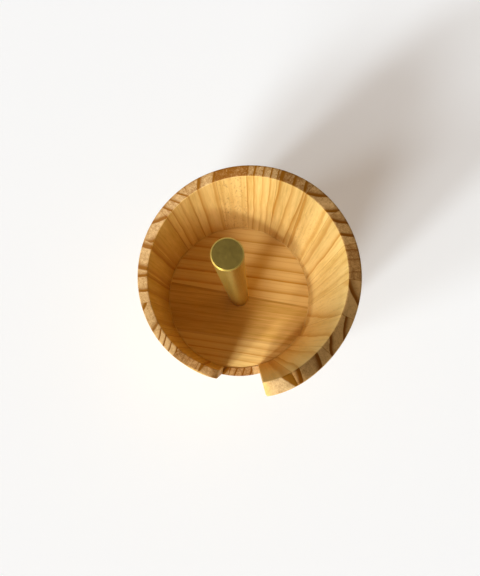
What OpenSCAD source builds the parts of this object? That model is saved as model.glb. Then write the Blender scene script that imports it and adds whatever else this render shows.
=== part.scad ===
// Free-standing toilet roll holder: a round vessel glued up from upright wooden staves,
// with a rim that winds down from a tall tip to a low end, a finger slot between the two,
// a board floor let into the staves, and a brass tube on which spare rolls are stacked.
// Millimetres, +Z up, origin on the ground at the rod's axis, slot towards -Y.

/* [Wall] */
// Inside diameter of the round wall, which clears a full roll
bore_d = 140; // [126:1:180]
// Thickness of the wall
wall_t = 8; // [6:0.5:14]
// Number of staves in the full ring
stave_count = 20; // [16:1:24]
// Easing of the wall's outer edge at the ground
foot_ease = 1.2; // [0.4:0.1:2]

/* [Rim] */
// Height of the tip above the floor
rim_high = 321; // [220:1:360]
// Height of the low end above the floor
rim_low = 100; // [60:1:180]
// Radius of the tip's nose, which runs up from the slot and over into the ramp
tip_nose_r = 16; // [6:1:30]
// Radius of the low end's nose
low_nose_r = 7.5; // [3:0.5:10]
// Length of the low end from the foot of the ramp to the slot, along the wall
low_end_l = 30; // [14:1:60]
// Easing of the rim's inner and outer edges
rim_ease = 1; // [0.4:0.1:2]

/* [Slot] */
// Width of the finger slot across the inside of the wall
slot_w = 33.5; // [24:0.5:56]
// Height of the slot's sill above the floor
sill_rise = 1; // [0.4:0.1:20]
// Easing of the slot's upright edges
slot_ease = 0.8; // [0.3:0.1:2]

/* [Floor] */
// Thickness of the floor boards
base_t = 15; // [13:0.5:24]
// Width of the middle floor board
board_w = 46; // [36:1:52]
// Distance from the rod's axis to the joint behind it
board_joint = 13; // [12:0.5:20]
// Turn of the boards' grain from the line across the slot
board_turn = -9; // [-45:1:45]
// Depth of the groove in the staves that holds the floor
groove_d = 3; // [2:0.5:4]
// Height of that groove
groove_h = 6; // [4:0.5:8]
// Gap round the floor that lets the boards swell
base_gap = 0.15; // [0.05:0.05:0.3]
// Chamfer round the floor's top edge
floor_ease = 0.6; // [0.2:0.1:1.5]

/* [Rod] */
// Outside diameter of the brass tube, which passes through a roll's core
rod_d = 18; // [14:0.5:20]
// Wall of the brass tube
rod_wall = 1.5; // [1:0.1:2.5]
// Height of the rod's top above the floor
rod_rise = 325; // [220:1:380]
// Depth to which the plug under the tube is seated in the floor
seat_d = 3; // [2:0.5:4]
// Gap round the plug in its seat
seat_gap = 0.1; // [0.05:0.05:0.3]
// Thickness of the cap's disc
cap_t = 2.5; // [1.5:0.1:5]
// Chamfer round the cap
cap_ease = 0.75; // [0.3:0.05:1.2]
// Length of the cap's spigot inside the tube
spigot_l = 8; // [5:0.5:16]
// Length of the threaded plug inside the tube's foot
plug_l = 15; // [14:0.5:30]

/* [Fixing] */
// Diameter of the screw that holds the rod
screw_d = 6; // [4:0.5:6]
// Length of thread that the screw holds in the plug
grip_l = 14; // [8:0.5:15]
// Diameter of the screw's head
head_d = 11; // [9.5:0.5:13]
// Thickness of the screw's head
head_t = 3.3; // [2:0.1:3.5]
// Width across the flats of the head's hexagonal socket
key_w = 4; // [3:0.5:5]
// Depth of that socket
key_d = 1.8; // [1:0.1:1.9]
// Outside diameter of the washer
washer_d = 16; // [14:0.5:18]
// Thickness of the washer
washer_t = 1.2; // [0.8:0.1:1.6]
// Play round the screw in the wood and in the washer
screw_play = 0.3; // [0.1:0.05:0.5]
// Play round the washer in its pocket
pocket_play = 1; // [0.5:0.1:1.5]
// Depth of the pocket under the floor that takes washer and head
pocket_d = 6; // [5.4:0.1:7]

/* [Feet] */
// Diameter of each foot pad
pad_d = 16; // [10:0.5:20]
// Thickness of each foot pad
pad_t = 1.5; // [1:0.1:4]
// Diameter of the circle on which the pads are stuck
pad_ring_d = 108; // [70:1:120]
// Number of foot pads
pad_count = 4; // [3:1:6]

/* [Hidden] */
// How far a cut runs past the surface that it cuts
overrun = 1;
// Longest facet of the winding rim, along the middle of the wall
rim_facet = 4;
// Largest turn from facet to facet round a nose
nose_facet_turn = 8;
// Gap between the screw's thread and the plug
thread_gap = 0.05;

// Shares of a stave's tone in the order that the staves stand
tone_shares = [0.62, 0.4, 0.75, 0.3, 0.85, 0.5, 0.68, 0.2, 0.55, 0.9];
dark_wood = [0.60, 0.42, 0.22];
pale_wood = [0.88, 0.71, 0.47];

r_in = bore_d / 2;
r_out = r_in + wall_t;
r_mid = r_in + wall_t / 2;
wood_z = pad_t;
floor_z = wood_z + base_t;
sill_z = floor_z + sill_rise;
groove_z = wood_z + (base_t - groove_h) / 2;

// Turns are measured from the middle of the slot, going round to the right
turn_zero = -90;
stave_turn = 360 / stave_count;
slot_half_turn = asin(slot_w / 2 / r_in);

rod_r = rod_d / 2;
tube_bore_r = rod_r - rod_wall;
tube_l = rod_rise - cap_t;
cap_z = floor_z + tube_l;
seat_z = floor_z - seat_d;
pocket_r = washer_d / 2 + pocket_play;
pocket_z = wood_z + pocket_d;
washer_z = pocket_z - washer_t;
screw_tip_z = seat_z + grip_l;
hole_r = screw_d / 2 + screw_play;

function two_digits(i) = str(i < 10 ? "0" : "", i);
function stave_name(i) = str("stave_", two_digits(i));
function board_name(i) = str("floor_board_", i);
function pad_name(i) = str("foot_pad_", i);

board_names = ["front", "middle", "rear"];

// The rim laid out flat along the middle of the wall, as [way from the tip's side of the
// slot, height above the floor]. It leaves the slot upright, goes over the tip's nose,
// runs down a straight ramp, along the level low end, and over its nose into the slot.
rim_l = (360 - 2 * slot_half_turn) * PI / 180 * r_mid;
ramp_foot = [rim_l - low_end_l, rim_low];
tip_centre = [tip_nose_r, rim_high - tip_nose_r];
low_centre = [rim_l - low_nose_r, rim_low - low_nose_r];

// Slope of the line that leaves the tip's nose and meets the ramp's foot
foot_from_tip = ramp_foot - tip_centre;
ramp_slope = asin(tip_nose_r / norm(foot_from_tip)) - atan2(foot_from_tip[1], foot_from_tip[0]);

function arc_path(centre, r, from, to) =
    let (facets = ceil(abs(to - from) / nose_facet_turn))
    [for (k = [0 : facets])
        let (a = from + (to - from) * k / facets)
        centre + r * [cos(a), sin(a)]];

function line_path(from, to) =
    let (facets = ceil(norm(to - from) / rim_facet))
    [for (k = [1 : facets - 1]) from + (to - from) * k / facets];

tip_path = arc_path(tip_centre, tip_nose_r, 180, 90 - ramp_slope);
low_path = arc_path(low_centre, low_nose_r, 90, 0);
flat_rim = concat(
    tip_path,
    line_path(tip_path[len(tip_path) - 1], ramp_foot),
    [ramp_foot],
    low_path
);

// The same rim as [turn, height above the ground], run on to the middle of the slot
rim = concat(
    [[0, floor_z + tip_centre[1]]],
    [for (p = flat_rim) [slot_half_turn + p[0] / r_mid * 180 / PI, floor_z + p[1]]],
    [[360, floor_z + low_centre[1]]]
);
rim_last = len(rim) - 1;

// A point at a radius, turn and height
function at_turn(r, turn, z) =
    [r * cos(turn_zero + turn), r * sin(turn_zero + turn), z];

// Least turn by which the waste above a stave's rim runs past the stave's sides
spare_turn = overrun / r_out * 180 / PI;

function stave_start(i) = (i - 1.5) * stave_turn;
function stave_tone(i) = tone_shares[i % len(tone_shares)];

// Underside of the waste above the rim, from inside to outside, as [radius, height] from
// the rim: the eased inner edge, the flat, and the eased outer edge
ease_rise = rim_ease * (1 - sin(45));
ease_slope = (rim_ease - ease_rise) / ease_rise;
waste_line = [
    [r_in - overrun, -rim_ease - overrun * ease_slope],
    [r_in + ease_rise, -ease_rise],
    [r_in + rim_ease, 0],
    [r_out - rim_ease, 0],
    [r_out - ease_rise, -ease_rise],
    [r_out + overrun, -rim_ease - overrun * ease_slope]
];

// The rim's points between two turns, with one more beyond each where there is one
function rim_between(from, to) =
    let (
        first = max([0, for (k = [0 : rim_last]) if (rim[k][0] < from - spare_turn) k]),
        last = min([rim_last, for (k = [0 : rim_last]) if (rim[k][0] > to + spare_turn) k])
    )
    [for (k = [first : last]) rim[k]];

// The wood above a stretch of the rim, as one swept solid under a level top
module rim_waste(stretch, top_z) {
    ring_size = len(waste_line) + 2;
    ring_count = len(stretch);
    points = [
        for (p = stretch)
            each concat(
                [for (w = waste_line) at_turn(w[0], p[0], p[1] + w[1])],
                [at_turn(r_out + overrun, p[0], top_z), at_turn(r_in - overrun, p[0], top_z)]
            )
    ];
    sides = [
        for (k = [0 : ring_count - 2], j = [0 : ring_size - 1])
            let (
                a = k * ring_size + j,
                b = k * ring_size + (j + 1) % ring_size
            )
            each [[a, b, b + ring_size], [a, b + ring_size, a + ring_size]]
    ];
    near_end = [for (j = [ring_size - 1 : -1 : 0]) j];
    far_end = [for (j = [0 : ring_size - 1]) (ring_count - 1) * ring_size + j];
    polyhedron(points, concat(sides, [near_end, far_end]), convexity = 4);
}

// Section of the wall: grooved for the floor, eased at the ground
module wall_section(top_z) {
    polygon([
        [r_in, wood_z],
        [r_out - foot_ease, wood_z],
        [r_out, wood_z + foot_ease],
        [r_out, top_z],
        [r_in, top_z],
        [r_in, groove_z + groove_h],
        [r_in + groove_d, groove_z + groove_h],
        [r_in + groove_d, groove_z],
        [r_in, groove_z]
    ]);
}

// Plan of one half of the slot, in [across, outward], with its upright edges eased
function across_out(r, turn) = [r * sin(turn), r * cos(turn)];
function run_on(a, b) = b + (b - a) / norm(b - a) * overrun;

module half_slot_plan() {
    ease_in = slot_ease / r_in * 180 / PI;
    ease_out = slot_ease / r_out * 180 / PI;
    inner_side = across_out(r_in + slot_ease, slot_half_turn);
    inner_face = across_out(r_in, slot_half_turn + ease_in);
    outer_side = across_out(r_out - slot_ease, slot_half_turn);
    outer_face = across_out(r_out, slot_half_turn + ease_out);
    polygon([
        [0, r_in - overrun - slot_w / 4],
        run_on(inner_side, inner_face),
        inner_side,
        outer_side,
        run_on(outer_side, outer_face),
        [0, r_out + overrun + slot_w / 4]
    ]);
}

module slot_waste() {
    rise = rim_high - sill_rise + 2 * overrun;
    translate([0, 0, sill_z])
        rotate([0, 0, turn_zero - 90])
            linear_extrude(height = rise)
                union() {
                    half_slot_plan();
                    mirror([1, 0]) half_slot_plan();
                }
}

// A stave of the wall. One that stands at the slot can meet the rim's both ends.
module stave(i) {
    start = stave_start(i);
    end = start + stave_turn;
    meets_slot = start < slot_half_turn || end > 360 - slot_half_turn;
    stretches = [
        if (end > slot_half_turn) rim_between(start, end),
        if (start < -slot_half_turn) rim_between(start + 360, end + 360)
    ];
    heights = [sill_z, for (stretch = stretches, p = stretch) p[1]];
    blank_z = max(heights) + overrun;
    color(dark_wood + (pale_wood - dark_wood) * stave_tone(i))
        difference() {
            rotate([0, 0, turn_zero + start])
                rotate_extrude(angle = stave_turn, $fn = 180)
                    wall_section(blank_z);
            for (stretch = stretches) rim_waste(stretch, blank_z + overrun);
            if (meets_slot) slot_waste();
        }
}

// Section of the round floor, with the tongue that sits in the staves' groove
module floor_section() {
    edge_r = r_in - base_gap;
    tongue_r = edge_r + groove_d;
    polygon([
        [0, wood_z],
        [edge_r, wood_z],
        [edge_r, groove_z],
        [tongue_r, groove_z],
        [tongue_r, groove_z + groove_h],
        [edge_r, groove_z + groove_h],
        [edge_r, floor_z - floor_ease],
        [edge_r - floor_ease, floor_z],
        [0, floor_z]
    ]);
}

// The plug's seat, the screw's hole and the pocket beneath, on the rod's axis
module rod_fixing_bores() {
    translate([0, 0, seat_z])
        cylinder(r = tube_bore_r + seat_gap, h = seat_d + overrun, $fn = 96);
    translate([0, 0, wood_z])
        cylinder(r = hole_r, h = base_t, $fn = 64);
    translate([0, 0, wood_z - overrun])
        cylinder(r = pocket_r, h = pocket_d + overrun, $fn = 96);
}

module floor_board(from, to, tone) {
    reach = r_out;
    color(dark_wood + (pale_wood - dark_wood) * tone)
        difference() {
            intersection() {
                rotate_extrude($fn = 180) floor_section();
                rotate([0, 0, board_turn])
                    translate([-reach, from, 0])
                        cube([2 * reach, to - from, floor_z + overrun]);
            }
            rod_fixing_bores();
        }
}

module floor_board_front() {
    floor_board(-r_out, board_joint - board_w, 0.45);
}

module floor_board_middle() {
    floor_board(board_joint - board_w, board_joint, 0.3);
}

module floor_board_rear() {
    floor_board(board_joint, r_out, 0.7);
}

module rod_tube() {
    color([0.69, 0.58, 0.33])
        translate([0, 0, floor_z])
            difference() {
                cylinder(r = rod_r, h = tube_l, $fn = 96);
                translate([0, 0, -overrun])
                    cylinder(r = tube_bore_r, h = tube_l + 2 * overrun, $fn = 96);
            }
}

// Chamfered disc on a spigot pressed into the tube
module rod_cap() {
    color([0.46, 0.42, 0.20])
        translate([0, 0, cap_z])
            rotate_extrude($fn = 96)
                polygon([
                    [0, -spigot_l],
                    [tube_bore_r, -spigot_l],
                    [tube_bore_r, 0],
                    [rod_r, 0],
                    [rod_r, cap_t - cap_ease],
                    [rod_r - cap_ease, cap_t],
                    [0, cap_t]
                ]);
}

// Plug brazed into the tube's foot, tapped for the screw and seated in the floor
module rod_plug() {
    length = seat_d + plug_l;
    color([0.62, 0.52, 0.28])
        translate([0, 0, seat_z])
            difference() {
                cylinder(r = tube_bore_r, h = length, $fn = 96);
                translate([0, 0, -overrun])
                    cylinder(r = screw_d / 2 + thread_gap, h = length + 2 * overrun, $fn = 64);
            }
}

// Flat-headed machine screw, driven up through the floor
module rod_screw() {
    color([0.62, 0.63, 0.65])
        difference() {
            union() {
                translate([0, 0, washer_z - head_t])
                    cylinder(r = head_d / 2, h = head_t, $fn = 64);
                translate([0, 0, washer_z])
                    cylinder(r = screw_d / 2, h = screw_tip_z - washer_z, $fn = 64);
            }
            translate([0, 0, washer_z - head_t - overrun])
                cylinder(r = key_w / 2 / cos(30), h = key_d + overrun, $fn = 6);
        }
}

module rod_washer() {
    color([0.70, 0.71, 0.73])
        translate([0, 0, washer_z])
            difference() {
                cylinder(r = washer_d / 2, h = washer_t, $fn = 64);
                translate([0, 0, -overrun])
                    cylinder(r = hole_r, h = washer_t + 2 * overrun, $fn = 64);
            }
}

// Stick-on pad under the floor boards
module foot_pad(i) {
    turn = (i - 0.5) * 360 / pad_count;
    color([0.25, 0.24, 0.23])
        translate(at_turn(pad_ring_d / 2, turn, 0))
            cylinder(r = pad_d / 2, h = pad_t, $fn = 64);
}

for (i = [1 : stave_count]) stave(i);
floor_board_front();
floor_board_middle();
floor_board_rear();
rod_tube();
rod_cap();
rod_plug();
rod_screw();
rod_washer();
for (i = [1 : pad_count]) foot_pad(i);
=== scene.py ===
"""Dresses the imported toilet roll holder: sawn pine, satin brass, light and camera."""

import math
from collections import namedtuple

import bpy
from mathutils import Color, Matrix, Vector


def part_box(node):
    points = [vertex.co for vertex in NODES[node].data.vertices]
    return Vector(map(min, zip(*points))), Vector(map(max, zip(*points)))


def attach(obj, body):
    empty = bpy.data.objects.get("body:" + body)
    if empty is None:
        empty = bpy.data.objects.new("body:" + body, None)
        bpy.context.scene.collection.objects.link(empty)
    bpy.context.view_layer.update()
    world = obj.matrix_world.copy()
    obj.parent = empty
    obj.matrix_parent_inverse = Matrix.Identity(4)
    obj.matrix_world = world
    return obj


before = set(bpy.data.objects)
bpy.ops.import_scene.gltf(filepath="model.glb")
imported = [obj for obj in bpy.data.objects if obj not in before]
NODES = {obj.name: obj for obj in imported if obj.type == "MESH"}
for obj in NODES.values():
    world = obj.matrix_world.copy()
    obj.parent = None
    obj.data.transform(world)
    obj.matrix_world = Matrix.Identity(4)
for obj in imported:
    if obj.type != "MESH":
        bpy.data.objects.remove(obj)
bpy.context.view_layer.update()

MM = 0.001
UP = Vector((0.0, 0.0, 1.0))
# What keeps a piece of trim just clear of the solid beside it
CLEARANCE = 0.01 * MM


# Sizes read from the frame

def reaches(node, lowest=0.0):
    """How far from the rod's axis a node's corners lie, of those above lowest."""
    corners = [vertex.co for vertex in NODES[node].data.vertices]
    return [math.hypot(corner.x, corner.y) for corner in corners if corner.z > lowest]


STAVES = sorted(name for name in NODES if name.startswith("stave_"))
PADS = sorted(name for name in NODES if name.startswith("foot_pad_"))
STAVE_TURN = math.tau / len(STAVES)
# Where the slot is, round from X, with the first stave in its middle
SLOT_TURN = -math.pi / 2
WALL_IN = min(reaches("stave_06"))
WALL_OUT = max(reaches("stave_06"))
WALL_MID = (WALL_IN + WALL_OUT) / 2
FLOOR_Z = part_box("floor_board_middle")[1].z
FLOOR_EDGE = max(reaches("floor_board_middle", FLOOR_Z - CLEARANCE))


# Scene objects

def add_object(name, data):
    thing = bpy.data.objects.new(name, data)
    bpy.context.scene.collection.objects.link(thing)
    return thing


# Camera, which looks down from a little to the slot's side of the rod

# How high it hangs above the vessel's floor, and how far from the rod, in metres
CAMERA_RISE = 0.680
CAMERA_PLACE = (0.0119, -0.0479)
# Its turns about X, Y and Z, in degrees
CAMERA_TURNS = (4.814, 0.904, -1.555)
CAMERA_LENS = 42.64
CAMERA_CLIP = 0.01


def make_camera():
    data = bpy.data.cameras.new("camera")
    data.lens = CAMERA_LENS
    data.clip_start = CAMERA_CLIP
    aim = Matrix.Translation((*CAMERA_PLACE, FLOOR_Z + CAMERA_RISE))
    for axis, turn in zip("XYZ", CAMERA_TURNS):
        aim = aim @ Matrix.Rotation(math.radians(turn), 4, axis)
    camera = add_object("camera", data)
    camera.matrix_world = aim
    bpy.context.scene.camera = camera


# Node helpers

# A noise: its features a metre across local Z and along it, its detail and its roughness
Noise = namedtuple("Noise", "across along detail rough")
# Where a Mix node keeps the sockets for its two colours and its result
MIX_FIRST, MIX_SECOND, MIX_RESULT = 6, 7, 2
FULL_SPAN = (0.0, 1.0)


class Tree:
    """A node tree with short ways to add and link its nodes."""

    def __init__(self, node_tree):
        self.nodes = node_tree.nodes
        self.links = node_tree.links

    def add(self, kind, sockets=None, **settings):
        node = self.nodes.new(kind)
        for key, value in settings.items():
            setattr(node, key, value)
        for key, value in (sockets or {}).items():
            self.put(node.inputs[key], value)
        return node

    def put(self, socket, value):
        if isinstance(value, bpy.types.NodeSocket):
            self.links.new(value, socket)
        else:
            socket.default_value = value

    def apply(self, operation, *values):
        """The result of one of the Math node's operations."""
        node = self.add("ShaderNodeMath", operation=operation)
        for socket, value in zip(node.inputs, values):
            self.put(socket, value)
        return node.outputs[0]

    def plus(self, *values):
        total = values[0]
        for value in values[1:]:
            total = self.apply("ADD", total, value)
        return total

    def minus(self, value, less):
        return self.apply("SUBTRACT", value, less)

    def times(self, value, factor):
        return self.apply("MULTIPLY", value, factor)

    def parts(self, vector):
        """A vector's X, Y and Z."""
        return tuple(self.add("ShaderNodeSeparateXYZ", {"Vector": vector}).outputs)

    def dot(self, first, second):
        node = self.add("ShaderNodeVectorMath", {0: first, 1: second}, operation="DOT_PRODUCT")
        return node.outputs["Value"]

    def ease(self, value, span, result=FULL_SPAN):
        """Goes smoothly from the result's first end to its last as value crosses the span."""
        node = self.add(
            "ShaderNodeMapRange",
            {"Value": value, "From Min": span[0], "From Max": span[1],
             "To Min": result[0], "To Max": result[1]},
            interpolation_type="SMOOTHSTEP",
        )
        return node.outputs["Result"]

    def noise(self, place, kind):
        stretch = (kind.across, kind.across, kind.along)
        stretched = self.add("ShaderNodeVectorMath", {0: place, 1: stretch}, operation="MULTIPLY")
        node = self.add(
            "ShaderNodeTexNoise",
            {"Vector": stretched.outputs[0], "Scale": 1.0,
             "Detail": kind.detail, "Roughness": kind.rough},
        )
        return node.outputs["Fac"]

    def swing(self, noise, reach):
        """Moves a noise of 0 to 1 so that it swings about 0, over a width of reach."""
        return self.times(self.minus(noise, 0.5), reach)

    def mix(self, share, first, second, blend="MIX"):
        node = self.add("ShaderNodeMix", data_type="RGBA", blend_type=blend)
        self.put(node.inputs["Factor"], share)
        self.put(node.inputs[MIX_FIRST], first)
        self.put(node.inputs[MIX_SECOND], second)
        return node.outputs[MIX_RESULT]

    def tint(self, share, color, by):
        return self.mix(share, color, by, "MULTIPLY")

    def steps(self, value, stops):
        """A ramp through (place, grey) stops."""
        node = self.add("ShaderNodeValToRGB", {"Fac": value})
        marks = node.color_ramp.elements
        while len(marks) < len(stops):
            marks.new(0.5)
        for mark, (place, grey) in zip(marks, stops):
            mark.position = place
            mark.color = (grey, grey, grey, 1.0)
        return node.outputs["Color"]


def srgb(red, green, blue):
    """A colour given as it is seen on a screen, from 0 to 255."""
    seen = Color((red / 255, green / 255, blue / 255))
    return (*seen.from_srgb_to_scene_linear(), 1.0)


def new_material(name):
    """A material, its tree, its shader's inputs, and the place on the object."""
    material = bpy.data.materials.new(name)
    material.use_nodes = True
    shader = material.node_tree.nodes["Principled BSDF"].inputs
    tree = Tree(material.node_tree)
    place = tree.add("ShaderNodeTexCoord").outputs["Object"]
    return material, tree, shader, place


def add_bump(tree, shader, height, strength, depth):
    bump = tree.add("ShaderNodeBump", {"Height": height, "Strength": strength, "Distance": depth})
    tree.put(shader["Normal"], bump.outputs["Normal"])


# Sawn pine: late wood makes the ring lines, and early wood is what lies between them

PALE_EARLY = srgb(241, 206, 131)
DARK_EARLY = srgb(192, 149, 53)
PALE_LATE = srgb(206, 150, 64)
DARK_LATE = srgb(152, 94, 24)
PALE_END = srgb(222, 185, 128)
DARK_END = srgb(134, 84, 23)
LATE_END = srgb(134, 82, 8)
FLECK = srgb(168, 118, 58)
# Warms the side grain by amber and the end grain by warm; on the rims of staves 3 to 9 it is
# painted warmth of shade
WARM_TINT = (1.0, 0.80, 0.55, 1.0)

# The ring lines' slow sway and quick ripple, and the ripple's width
SWAY = Noise(14.0, 5.0, 1.5, 0.5)
RIPPLE = Noise(110.0, 16.0, 2.0, 0.5)
RIPPLE_REACH = 1.6 * MM
# How quickly the rings' widths vary from one to the next, and by what share of a ring
UNEVEN_SCALE, UNEVEN_REACH = 0.55, 0.5
# How strong the late wood is on the way from one ring line to the next
RING_STOPS = [(0.0, 0.95), (0.02, 0.60), (0.05, 0.10), (0.45, 0.04),
              (0.70, 0.18), (0.85, 0.55), (0.95, 0.98), (1.0, 1.0)]
# How strong the weakest ring line is beside the strongest
WEAKEST_LINE = 0.60
# The same for thin lines, how many of them a ring has, and how far they are shifted
THIN_STOPS = [(0.0, 0.90), (0.08, 0.12), (0.50, 0.0), (0.80, 0.25), (1.0, 1.0)]
THIN_COUNT, THIN_SHIFT = 2.6, 0.3
# How much of the early wood's colour the late wood covers
LATE_SHARE = 0.95

# What mottles the tone, and how much; the pores show on end grain alone
CLOUD, CLOUD_REACH = Noise(38.0, 9.0, 2.0, 0.5), 0.7
STREAK, STREAK_REACH = Noise(420.0, 7.0, 3.0, 0.6), 1.25
FIBRE, FIBRE_REACH = Noise(1500.0, 45.0, 2.0, 0.6), 0.95
PORES, PORES_REACH = Noise(1900.0, 300.0, 2.0, 0.7), 0.5
# The flecks, and how high this noise is at a fleck's rim and in its middle
FLECKS, FLECK_SPAN = Noise(560.0, 120.0, 4.0, 0.75), (0.52, 0.68)

# How squarely a face lies across the grain where end grain begins, and where it is whole
END_SPAN = (0.25, 0.75)
# How strong late wood is where end grain begins to show it, and where it is darkest
END_LATE_SPAN = (0.04, 0.62)

# The fibres make the roughness, and the bump with the late wood
FIBRE_SPAN, WOOD_ROUGH = (0.3, 0.7), (0.46, 0.60)
WOOD_SHINE = 0.08
WOOD_BUMP, WOOD_BUMP_DEPTH = 0.35, 0.06 * MM

# A piece's growth rings and its tones.
# In mm: line is the place of one ring line, gap the way to the next, pith how far the
# tree's middle lies behind the line, and wave how far the lines sway.
# Lean is how far the lines turn, in degrees, and tilt how far they drift along the piece.
# The rest are shares: the paleness of the side grain (tone) and of the end grain (end),
# the strength of the ring lines (strength), of the thin lines between them (thin) and of
# the flecks (fleck), and how warm the end grain (warm) and the side grain (amber) are.
# In STAVE_GRAIN, warm on staves 3 to 9 is painted warmth of shade, and tone on staves 2 to 5 and
# 14 to 20 is partly painted light and shade
Grain = namedtuple(
    "Grain",
    "line gap lean tone end pith tilt strength wave fleck warm amber thin",
    defaults=(60.0, 0.0, 1.0, 6.0, 0.0, 0.0, 0.0, 0.0),
)
GRAIN_UNITS = {"line": MM, "gap": MM, "pith": MM, "wave": MM, "lean": math.radians(1.0)}
WOOD_INPUTS = {"place": "Vector", "along": "Vector", **{name: "Float" for name in Grain._fields}}
WOOD_OUTPUTS = {"color": "Color", "rough": "Float", "height": "Float"}


def count_rings(tree, given):
    """How many rings lie between a place and the grain's own line."""
    place, pith = given["place"], given["pith"]
    x, y, z = tree.parts(place)
    cos, sin = tree.apply("COSINE", given["lean"]), tree.apply("SINE", given["lean"])
    sway = tree.swing(tree.noise(place, SWAY), given["wave"])
    shift = tree.minus(tree.minus(y, given["line"]), tree.times(z, given["tilt"]))
    shift = tree.plus(shift, sway)
    across = tree.minus(tree.times(shift, cos), tree.times(x, sin))
    beside = tree.plus(tree.times(shift, sin), tree.times(x, cos))
    out = tree.plus(across, pith)
    reach = tree.apply("SQRT", tree.plus(tree.times(out, out), tree.times(beside, beside)))
    reach = tree.minus(reach, tree.apply("ABSOLUTE", pith))
    ripple = tree.swing(tree.noise(place, RIPPLE), RIPPLE_REACH)
    rings = tree.apply("DIVIDE", tree.plus(reach, ripple), given["gap"])
    uneven = tree.add(
        "ShaderNodeTexNoise",
        {"W": rings, "Scale": UNEVEN_SCALE, "Detail": 0.0},
        noise_dimensions="1D",
    )
    return tree.plus(rings, tree.swing(uneven.outputs["Fac"], UNEVEN_REACH))


def late_wood(tree, given):
    """Near 1 on a ring line and near 0 between two, with thin lines on the way."""
    rings = count_rings(tree, given)
    late = tree.steps(tree.apply("FRACT", rings), RING_STOPS)
    nearest = tree.apply("ROUND", rings)
    each = tree.add("ShaderNodeTexWhiteNoise", {"W": nearest}, noise_dimensions="1D")
    late = tree.times(late, tree.ease(each.outputs["Value"], FULL_SPAN, (WEAKEST_LINE, 1.0)))
    late = tree.times(late, given["strength"])
    thin = tree.apply("FRACT", tree.apply("MULTIPLY_ADD", rings, THIN_COUNT, THIN_SHIFT))
    thin = tree.times(tree.steps(thin, THIN_STOPS), given["thin"])
    return tree.apply("MAXIMUM", late, thin)


def side_grain(tree, given, late, mottle):
    early = tree.mix(tree.plus(given["tone"], mottle), DARK_EARLY, PALE_EARLY)
    line = tree.mix(given["tone"], DARK_LATE, PALE_LATE)
    color = tree.mix(tree.times(late, LATE_SHARE), early, line)
    color = tree.tint(given["amber"], color, WARM_TINT)
    fleck = tree.ease(tree.noise(given["place"], FLECKS), FLECK_SPAN)
    return tree.mix(tree.times(fleck, given["fleck"]), color, FLECK)


def end_grain(tree, given, late, mottle):
    """End grain drinks oil: it is darker, and its late wood far darker and wider."""
    speck = tree.swing(tree.noise(given["place"], PORES), PORES_REACH)
    color = tree.mix(tree.plus(given["end"], mottle, speck), DARK_END, PALE_END)
    color = tree.mix(tree.ease(late, END_LATE_SPAN), color, LATE_END)
    # The warm tint: on the rims of staves 3 to 9 it is painted warmth of the shade there
    return tree.tint(given["warm"], color, WARM_TINT)


def wood_group():
    """Growth rings round a pith, fibres along Z, and darker end grain."""
    group = bpy.data.node_groups.new("sawn_pine", "ShaderNodeTree")
    for way, sockets in {"INPUT": WOOD_INPUTS, "OUTPUT": WOOD_OUTPUTS}.items():
        for name, kind in sockets.items():
            group.interface.new_socket(name, in_out=way, socket_type="NodeSocket" + kind)
    tree = Tree(group)
    given = tree.add("NodeGroupInput").outputs
    place = given["place"]
    fibre = tree.noise(place, FIBRE)
    mottle = tree.plus(
        tree.swing(tree.noise(place, CLOUD), CLOUD_REACH),
        tree.swing(tree.noise(place, STREAK), STREAK_REACH),
        tree.swing(fibre, FIBRE_REACH),
    )
    late = late_wood(tree, given)
    side = side_grain(tree, given, late, mottle)
    end = end_grain(tree, given, late, mottle)
    normal = tree.add("ShaderNodeTexCoord").outputs["Normal"]
    facing = tree.apply("ABSOLUTE", tree.dot(normal, given["along"]))
    tree.add("NodeGroupOutput", {
        "color": tree.mix(tree.ease(facing, END_SPAN), side, end),
        "rough": tree.ease(fibre, FIBRE_SPAN, WOOD_ROUGH),
        "height": tree.times(tree.plus(late, fibre), 0.5),
    })
    return group


def add_wood(tree, group, place, along, its_grain):
    values = {name: value * GRAIN_UNITS.get(name, 1.0)
              for name, value in its_grain._asdict().items()}
    sockets = {"place": place, "along": along, **values}
    return tree.add("ShaderNodeGroup", sockets, node_tree=group).outputs


def wood_material(name, group, turn, centre, grains, joint=None, edge=None):
    """Pine with its fibres along the local Z that turn gives, round a local centre.

    A second grain is the wood beyond the edge, where heartwood meets sapwood.
    The joint is a function that colours a glue line.
    """
    material, tree, shader, place = new_material(name)
    local = tree.add(
        "ShaderNodeMapping",
        {"Vector": place, "Rotation": turn.to_euler(), "Location": centre},
    ).outputs["Vector"]
    along = turn.transposed() @ UP
    woods = [add_wood(tree, group, local, along, its_grain) for its_grain in grains]
    color = woods[0]["color"]
    if edge is not None:
        color = cross_edge(tree, local, edge, color, woods[1]["color"])
    if joint is not None:
        color = joint(tree, local, color)
    tree.put(shader["Base Color"], color)
    tree.put(shader["Roughness"], woods[0]["rough"])
    shader["Specular IOR Level"].default_value = WOOD_SHINE
    add_bump(tree, shader, woods[0]["height"], WOOD_BUMP, WOOD_BUMP_DEPTH)
    return material


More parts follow.
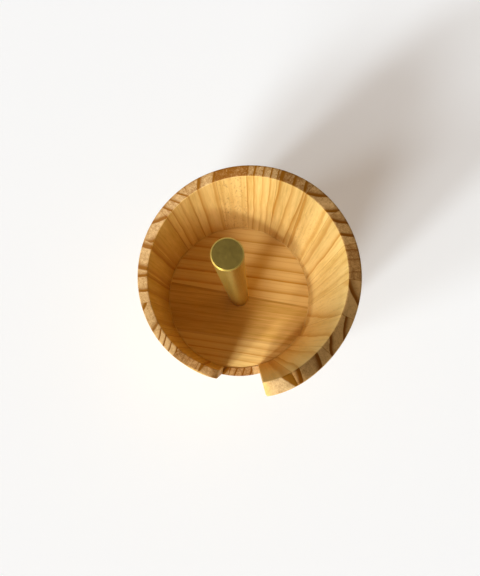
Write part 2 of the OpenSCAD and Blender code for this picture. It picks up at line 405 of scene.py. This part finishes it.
# Each stave's ring lines, placed from the stave's middle, round from the slot
STAVE_GRAIN = [
    Grain(-4.5, 7.0, -20, 0.40, 0.42, warm=0.5),
    # Staves 2 to 5: their side tones are partly their own and partly painted light, set paler for
    # the light that falls on their inner faces through the slot
    Grain(8.5, 30.0, 37, 0.95, 0.74, pith=-90, amber=0.5),
    # Staves 3 to 9: their warm end grain is painted warmth of the shade that lies on these rims
    Grain(-8.1, 12.8, -22, 1.00, 0.84, strength=1.1, warm=0.9, amber=0.1),
    Grain(-4.0, 9.2, -52, 1.00, 0.92, pith=-60, tilt=-0.02, warm=1.0, amber=0.2),
    Grain(-1.6, 15.0, -40, 1.00, 1.00, pith=-70, tilt=-0.055, fleck=0.2, warm=0.9),
    Grain(7.2, 7.0, 0, 0.82, 0.52, strength=0.6, fleck=0.2, warm=1.0),
    Grain(-7.2, 10.0, -27, 0.90, 0.66, pith=-60, strength=1.2, warm=0.8),
    Grain(2.8, 12.0, -48, 0.85, 0.58, pith=-60, strength=1.1, fleck=0.3, warm=0.5),
    Grain(-2.8, 8.6, 20, 0.78, 0.22, tilt=-0.02, strength=1.2, warm=0.3),
    Grain(-5.8, 6.0, 3, 0.80, 0.38, wave=12),
    Grain(9.0, 7.7, 0, 0.88, 0.05, strength=0.5, fleck=0.6, warm=0.3),
    Grain(2.1, 13.2, -23, 0.90, 0.46, strength=1.1),
    Grain(-7.0, 6.5, 32, 0.76, 0.48),
    # Staves 14 to 20: their side tones are partly their own and partly painted shade, set darker
    # because their inner faces lie in shade
    Grain(-4.6, 14.0, 50, 0.44, 0.60),
    Grain(-7.2, 17.6, 0, 0.38, 0.68, strength=1.1),
    Grain(-8.8, 12.5, 3, 0.28, 0.67),
    Grain(-10.0, 17.0, 42, 0.30, 0.68, strength=0.8, fleck=0.3),
    Grain(-0.9, 5.8, 34, 0.36, 0.94, warm=0.2),
    Grain(0.0, 4.7, 0, 0.30, 0.42, strength=0.5, warm=0.4),
    Grain(-10.9, 18.6, -30, 0.36, 0.44, strength=1.2, warm=0.2),
]

JOINT_TINT = srgb(232, 220, 200)
# How far in from a stave's side its glue line begins, and where it is whole
JOINT_FADE, JOINT_WHOLE = 0.45 * MM, 0.05 * MM


def stave_joint(tree, local, color):
    """The colour with a glue line at either side of the stave."""
    x, y, _ = tree.parts(local)
    turn = tree.apply("ARCTAN2", y, tree.plus(x, WALL_MID))
    way = tree.times(tree.apply("ABSOLUTE", turn), WALL_MID)
    side = STAVE_TURN / 2 * WALL_MID
    line = tree.ease(way, (side - JOINT_FADE, side - JOINT_WHOLE))
    return tree.tint(line, color, JOINT_TINT)


def dress_staves(group):
    for count, (name, its_grain) in enumerate(zip(STAVES, STAVE_GRAIN)):
        turn = Matrix.Rotation(-(SLOT_TURN + count * STAVE_TURN), 3, "Z")
        NODES[name].material_slots[0].material = wood_material(
            name + "_wood", group, turn, (-WALL_MID, 0.0, 0.0), [its_grain], joint=stave_joint
        )


# Floor boards: their lines are placed from the rod's axis, towards the slot

# How far the boards' grain turns from X
BOARD_TURN = math.radians(-9.0)
FRONT_WOOD = Grain(
    54.6, 8.0, 0, 0.98, 0.50, pith=70, tilt=0.034, strength=1.15, wave=5, thin=0.35
)
MIDDLE_WOOD = Grain(28.0, 15.0, 60, 0.50, 0.40, strength=0.2, wave=10, amber=0.26)
REAR_WOOD = Grain(-20.5, 12.1, 0, 1.06, 0.50, strength=1.45, wave=5, thin=0.38)
# The line between two woods: its place in mm, and its drift along the board
Edge = namedtuple("Edge", "line tilt")
BOARD_WOODS = {
    "floor_board_front": ([MIDDLE_WOOD, FRONT_WOOD], Edge(39.5, 0.01)),
    "floor_board_middle": ([REAR_WOOD, MIDDLE_WOOD], Edge(-3.0, 0.053)),
    "floor_board_rear": ([REAR_WOOD], None),
}

# Half the width over which one wood turns into the other
EDGE_BLUR = 0.4 * MM
# The dark ring just past the edge: the place of its middle, half its width, how strong
EDGE_RING_AT = 1.0 * MM
EDGE_RING_HALF = 1.4 * MM
EDGE_RING_SHARE = 0.40
EDGE_RING_TINT = srgb(205, 180, 140)


def cross_edge(tree, local, edge, behind, beyond):
    """One wood's colour behind the edge and the other's beyond it, past a dark ring."""
    _, y, z = tree.parts(local)
    way = tree.minus(y, tree.apply("MULTIPLY_ADD", z, edge.tilt, edge.line * MM))
    color = tree.mix(tree.ease(way, (-EDGE_BLUR, EDGE_BLUR)), behind, beyond)
    off = tree.apply("ABSOLUTE", tree.minus(way, EDGE_RING_AT))
    ring = tree.ease(off, (EDGE_RING_HALF / 2, EDGE_RING_HALF), (EDGE_RING_SHARE, 0.0))
    return tree.tint(ring, color, EDGE_RING_TINT)


def dress_boards(group):
    along = Vector((math.cos(BOARD_TURN), math.sin(BOARD_TURN), 0.0))
    turn = Matrix((UP, along.cross(UP), along))
    for name, (woods, edge) in BOARD_WOODS.items():
        NODES[name].material_slots[0].material = wood_material(
            name + "_wood", group, turn, (-FLOOR_Z, 0.0, 0.0), woods, edge=edge
        )


# The joint between the floor and the wall, filled flush with tinted glue

GLUE = srgb(238, 206, 134)
GLUE_DARK = srgb(218, 178, 100)
GLUE_CLOUD, GLUE_SPAN = Noise(90.0, 90.0, 3.0, 0.6), (0.3, 0.7)
GLUE_ROUGH, GLUE_SHINE = 0.5, 0.2
GLUE_DEPTH = 0.5 * MM
GLUE_SINK = 0.04 * MM
GLUE_SIDES = 180


def tinted_glue():
    material, tree, shader, place = new_material("tinted_glue")
    cloud = tree.ease(tree.noise(place, GLUE_CLOUD), GLUE_SPAN)
    tree.put(shader["Base Color"], tree.mix(cloud, GLUE_DARK, GLUE))
    shader["Roughness"].default_value = GLUE_ROUGH
    shader["Specular IOR Level"].default_value = GLUE_SHINE
    return material


def make_glue_line():
    """A ring that lies in the chamfer round the floor, as deep as GLUE_DEPTH."""
    top, bottom = FLOOR_Z - GLUE_SINK, FLOOR_Z - GLUE_DEPTH
    edge, wall = FLOOR_EDGE + GLUE_SINK, WALL_IN - CLEARANCE
    section = [(edge, top), (wall, top), (wall, bottom), (edge + GLUE_DEPTH, bottom)]
    turns = [math.tau * side / GLUE_SIDES for side in range(GLUE_SIDES)]
    corners = [(reach * math.cos(turn), reach * math.sin(turn), z)
               for turn in turns for reach, z in section]
    count = len(section)
    faces = []
    for side in range(GLUE_SIDES):
        here, there = side * count, (side + 1) % GLUE_SIDES * count
        for corner in range(count):
            after = (corner + 1) % count
            faces.append((here + corner, here + after, there + after, there + corner))
    mesh = bpy.data.meshes.new("floor_glue_line")
    mesh.from_pydata(corners, [], faces)
    mesh.shade_smooth()
    mesh.materials.append(tinted_glue())
    ring = add_object("floor_glue_line", mesh)
    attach(ring, "root")


# Metal and rubber

# A metal: its colour straight on and at a slant, its roughness and its brush marks
Metal = namedtuple("Metal", "color edge rough marks")
EVEN = Noise(900.0, 900.0, 3.0, 0.7)
DRAWN = Noise(2600.0, 60.0, 3.0, 0.7)
BRASS_EDGE = srgb(238, 224, 186)
STEEL = srgb(196, 198, 202)
METALS = {
    # The tube's brass is the cap's brass painted darker and less blue: painted shade that dims
    # the reflections of the lamps and sky on the tube
    "tube_brass_painted_shade": Metal(srgb(186, 156, 74), BRASS_EDGE, 0.34, DRAWN),
    "cap_brass": Metal(srgb(206, 176, 89), BRASS_EDGE, 0.34, EVEN),
    "zinc_steel": Metal(STEEL, STEEL, 0.30, EVEN),
}
# Patches of thin tarnish, and how strong they get
TARNISH = srgb(205, 196, 176)
TARNISH_CLOUD, TARNISH_SPAN = Noise(60.0, 25.0, 2.0, 0.5), (0.3, 0.7)
TARNISH_SHARE = 0.22
# How far the brush marks change the roughness, down and up, and how deep they look
MARK_SPAN, MARK_DOWN, MARK_UP = (0.25, 0.75), 0.05, 0.08
MARK_BUMP, MARK_DEPTH = 0.25, 0.02 * MM

RUBBER = srgb(62, 60, 58)
RUBBER_DARK = srgb(48, 46, 45)
RUBBER_CELLS = Noise(1800.0, 1800.0, 2.0, 0.7)
RUBBER_ROUGH = 0.85
CELL_BUMP, CELL_DEPTH = 0.5, 0.1 * MM

FITTINGS = {
    "rod_tube": "tube_brass_painted_shade",
    "rod_cap": "cap_brass",
    "rod_plug": "tube_brass_painted_shade",
    "rod_screw": "zinc_steel",
    "rod_washer": "zinc_steel",
    **{name: "foam_rubber" for name in PADS},
}


def brushed_metal(name, metal):
    material, tree, shader, place = new_material(name)
    marks = tree.noise(place, metal.marks)
    tarnish = tree.ease(tree.noise(place, TARNISH_CLOUD), TARNISH_SPAN, (0.0, TARNISH_SHARE))
    tree.put(shader["Base Color"], tree.tint(tarnish, metal.color, TARNISH))
    roughs = (metal.rough - MARK_DOWN, metal.rough + MARK_UP)
    tree.put(shader["Roughness"], tree.ease(marks, MARK_SPAN, roughs))
    shader["Metallic"].default_value = 1.0
    shader["Specular Tint"].default_value = metal.edge
    add_bump(tree, shader, marks, MARK_BUMP, MARK_DEPTH)
    return material


def foam_rubber():
    material, tree, shader, place = new_material("foam_rubber")
    cells = tree.noise(place, RUBBER_CELLS)
    tree.put(shader["Base Color"], tree.mix(cells, RUBBER_DARK, RUBBER))
    shader["Roughness"].default_value = RUBBER_ROUGH
    add_bump(tree, shader, cells, CELL_BUMP, CELL_DEPTH)
    return material


def dress_fittings():
    finishes = {name: brushed_metal(name, metal) for name, metal in METALS.items()}
    finishes["foam_rubber"] = foam_rubber()
    for node, finish in FITTINGS.items():
        NODES[node].material_slots[0].material = finishes[finish]


# Stage: floor, sky and lamps

FLOOR_REACH, FLOOR_SIDES = 6.0, 64
# The floor's colour as it lights the object, and as it is seen: a glow and a share of light
FLOOR_PALE = srgb(247, 246, 244)
FLOOR_GLOW = (0.362, 0.287, 0.227, 1.0)
FLOOR_SHARE = (0.621, 0.705, 0.780, 1.0)
# The sky's brightness from the horizon to straight above, its tint, and how far it lights
SKY_STOPS = [(0.0, 0.95), (0.12, 0.90), (0.35, 0.62), (0.65, 0.42), (1.0, 0.37)]
SKY_TINT = (1.0, 0.985, 0.965, 1.0)
SKY_LIGHT = 0.25
# How bright polished metal sees the room, away from the window and towards it
ROOM_SPAN, ROOM_BRIGHTNESS = (-0.1, 0.9), (0.20, 0.90)
# A lamp: the turn and rise of the way to it and its spread in degrees, and its strength
Lamp = namedtuple("Lamp", "turn rise spread strength")
LAMP_TINT = (1.0, 0.99, 0.97)
LAMPS = {
    "key_lamp": Lamp(222.0, 31.0, 7.0, 1.50),
    "high_lamp": Lamp(237.0, 46.0, 12.0, 0.95),
    "top_lamp": Lamp(228.0, 54.0, 24.0, 0.44),
    "window_lamp": Lamp(238.0, 18.0, 18.0, 0.80),
    "side_lamp": Lamp(203.0, 25.0, 12.0, 1.10),
}


def lamp_way(lamp):
    turn, rise = math.radians(lamp.turn), math.radians(lamp.rise)
    return Vector((math.cos(rise) * math.cos(turn),
                   math.cos(rise) * math.sin(turn),
                   math.sin(rise)))


def cleared(holder):
    """The emptied node tree of a material or a world."""
    holder.use_nodes = True
    holder.node_tree.nodes.clear()
    return Tree(holder.node_tree)


def seen_ray(tree):
    """1 for rays that show the stage itself, and 0 for those that only light the object."""
    rays = tree.add("ShaderNodeLightPath").outputs
    seen = tree.apply("MAXIMUM", rays["Is Camera Ray"], rays["Is Glossy Ray"])
    return tree.apply("MAXIMUM", seen, rays["Is Transmission Ray"])


def pale_floor():
    material = bpy.data.materials.new("pale_floor")
    tree = cleared(material)
    plain = tree.add("ShaderNodeBsdfDiffuse", {"Color": FLOOR_PALE}).outputs[0]
    lit = tree.add("ShaderNodeBsdfDiffuse", {"Color": FLOOR_SHARE}).outputs[0]
    glow = tree.add("ShaderNodeEmission", {"Color": FLOOR_GLOW}).outputs[0]
    seen = tree.add("ShaderNodeAddShader", {0: lit, 1: glow}).outputs[0]
    shown = tree.add("ShaderNodeMixShader", {0: seen_ray(tree), 1: plain, 2: seen}).outputs[0]
    tree.add("ShaderNodeOutputMaterial", {"Surface": shown})
    return material


def make_floor():
    turns = [math.tau * side / FLOOR_SIDES for side in range(FLOOR_SIDES)]
    corners = [(FLOOR_REACH * math.cos(turn), FLOOR_REACH * math.sin(turn), 0.0)
               for turn in turns]
    mesh = bpy.data.meshes.new("floor")
    mesh.from_pydata(corners, [], [list(range(FLOOR_SIDES))])
    mesh.materials.append(pale_floor())
    add_object("floor", mesh)


def make_sky():
    world = bpy.data.worlds.new("studio")
    bpy.context.scene.world = world
    tree = cleared(world)
    way = tree.add("ShaderNodeTexCoord").outputs["Generated"]
    rise = tree.parts(way)[2]
    tint = tree.tint(1.0, tree.steps(rise, SKY_STOPS), SKY_TINT)
    window = tree.dot(way, lamp_way(LAMPS["window_lamp"]))
    room = tree.ease(window, ROOM_SPAN, ROOM_BRIGHTNESS)
    rays = tree.add("ShaderNodeLightPath").outputs
    strength = tree.apply("MULTIPLY_ADD", rays["Is Camera Ray"], 1.0 - SKY_LIGHT, SKY_LIGHT)
    more = tree.minus(room, SKY_LIGHT)
    strength = tree.apply("MULTIPLY_ADD", rays["Is Glossy Ray"], more, strength)
    light = tree.add("ShaderNodeBackground", {"Color": tint, "Strength": strength})
    tree.add("ShaderNodeOutputWorld", {"Surface": light.outputs[0]})


def make_lamps():
    for name, lamp in LAMPS.items():
        data = bpy.data.lights.new(name, "SUN")
        data.energy = lamp.strength
        data.angle = math.radians(lamp.spread)
        data.color = LAMP_TINT
        turned = lamp_way(lamp).to_track_quat("Z", "Y")
        add_object(name, data).rotation_euler = turned.to_euler()


make_camera()
pine = wood_group()
dress_staves(pine)
dress_boards(pine)
dress_fittings()
make_glue_line()
make_floor()
make_sky()
make_lamps()
bpy.context.scene.view_settings.view_transform = "Standard"
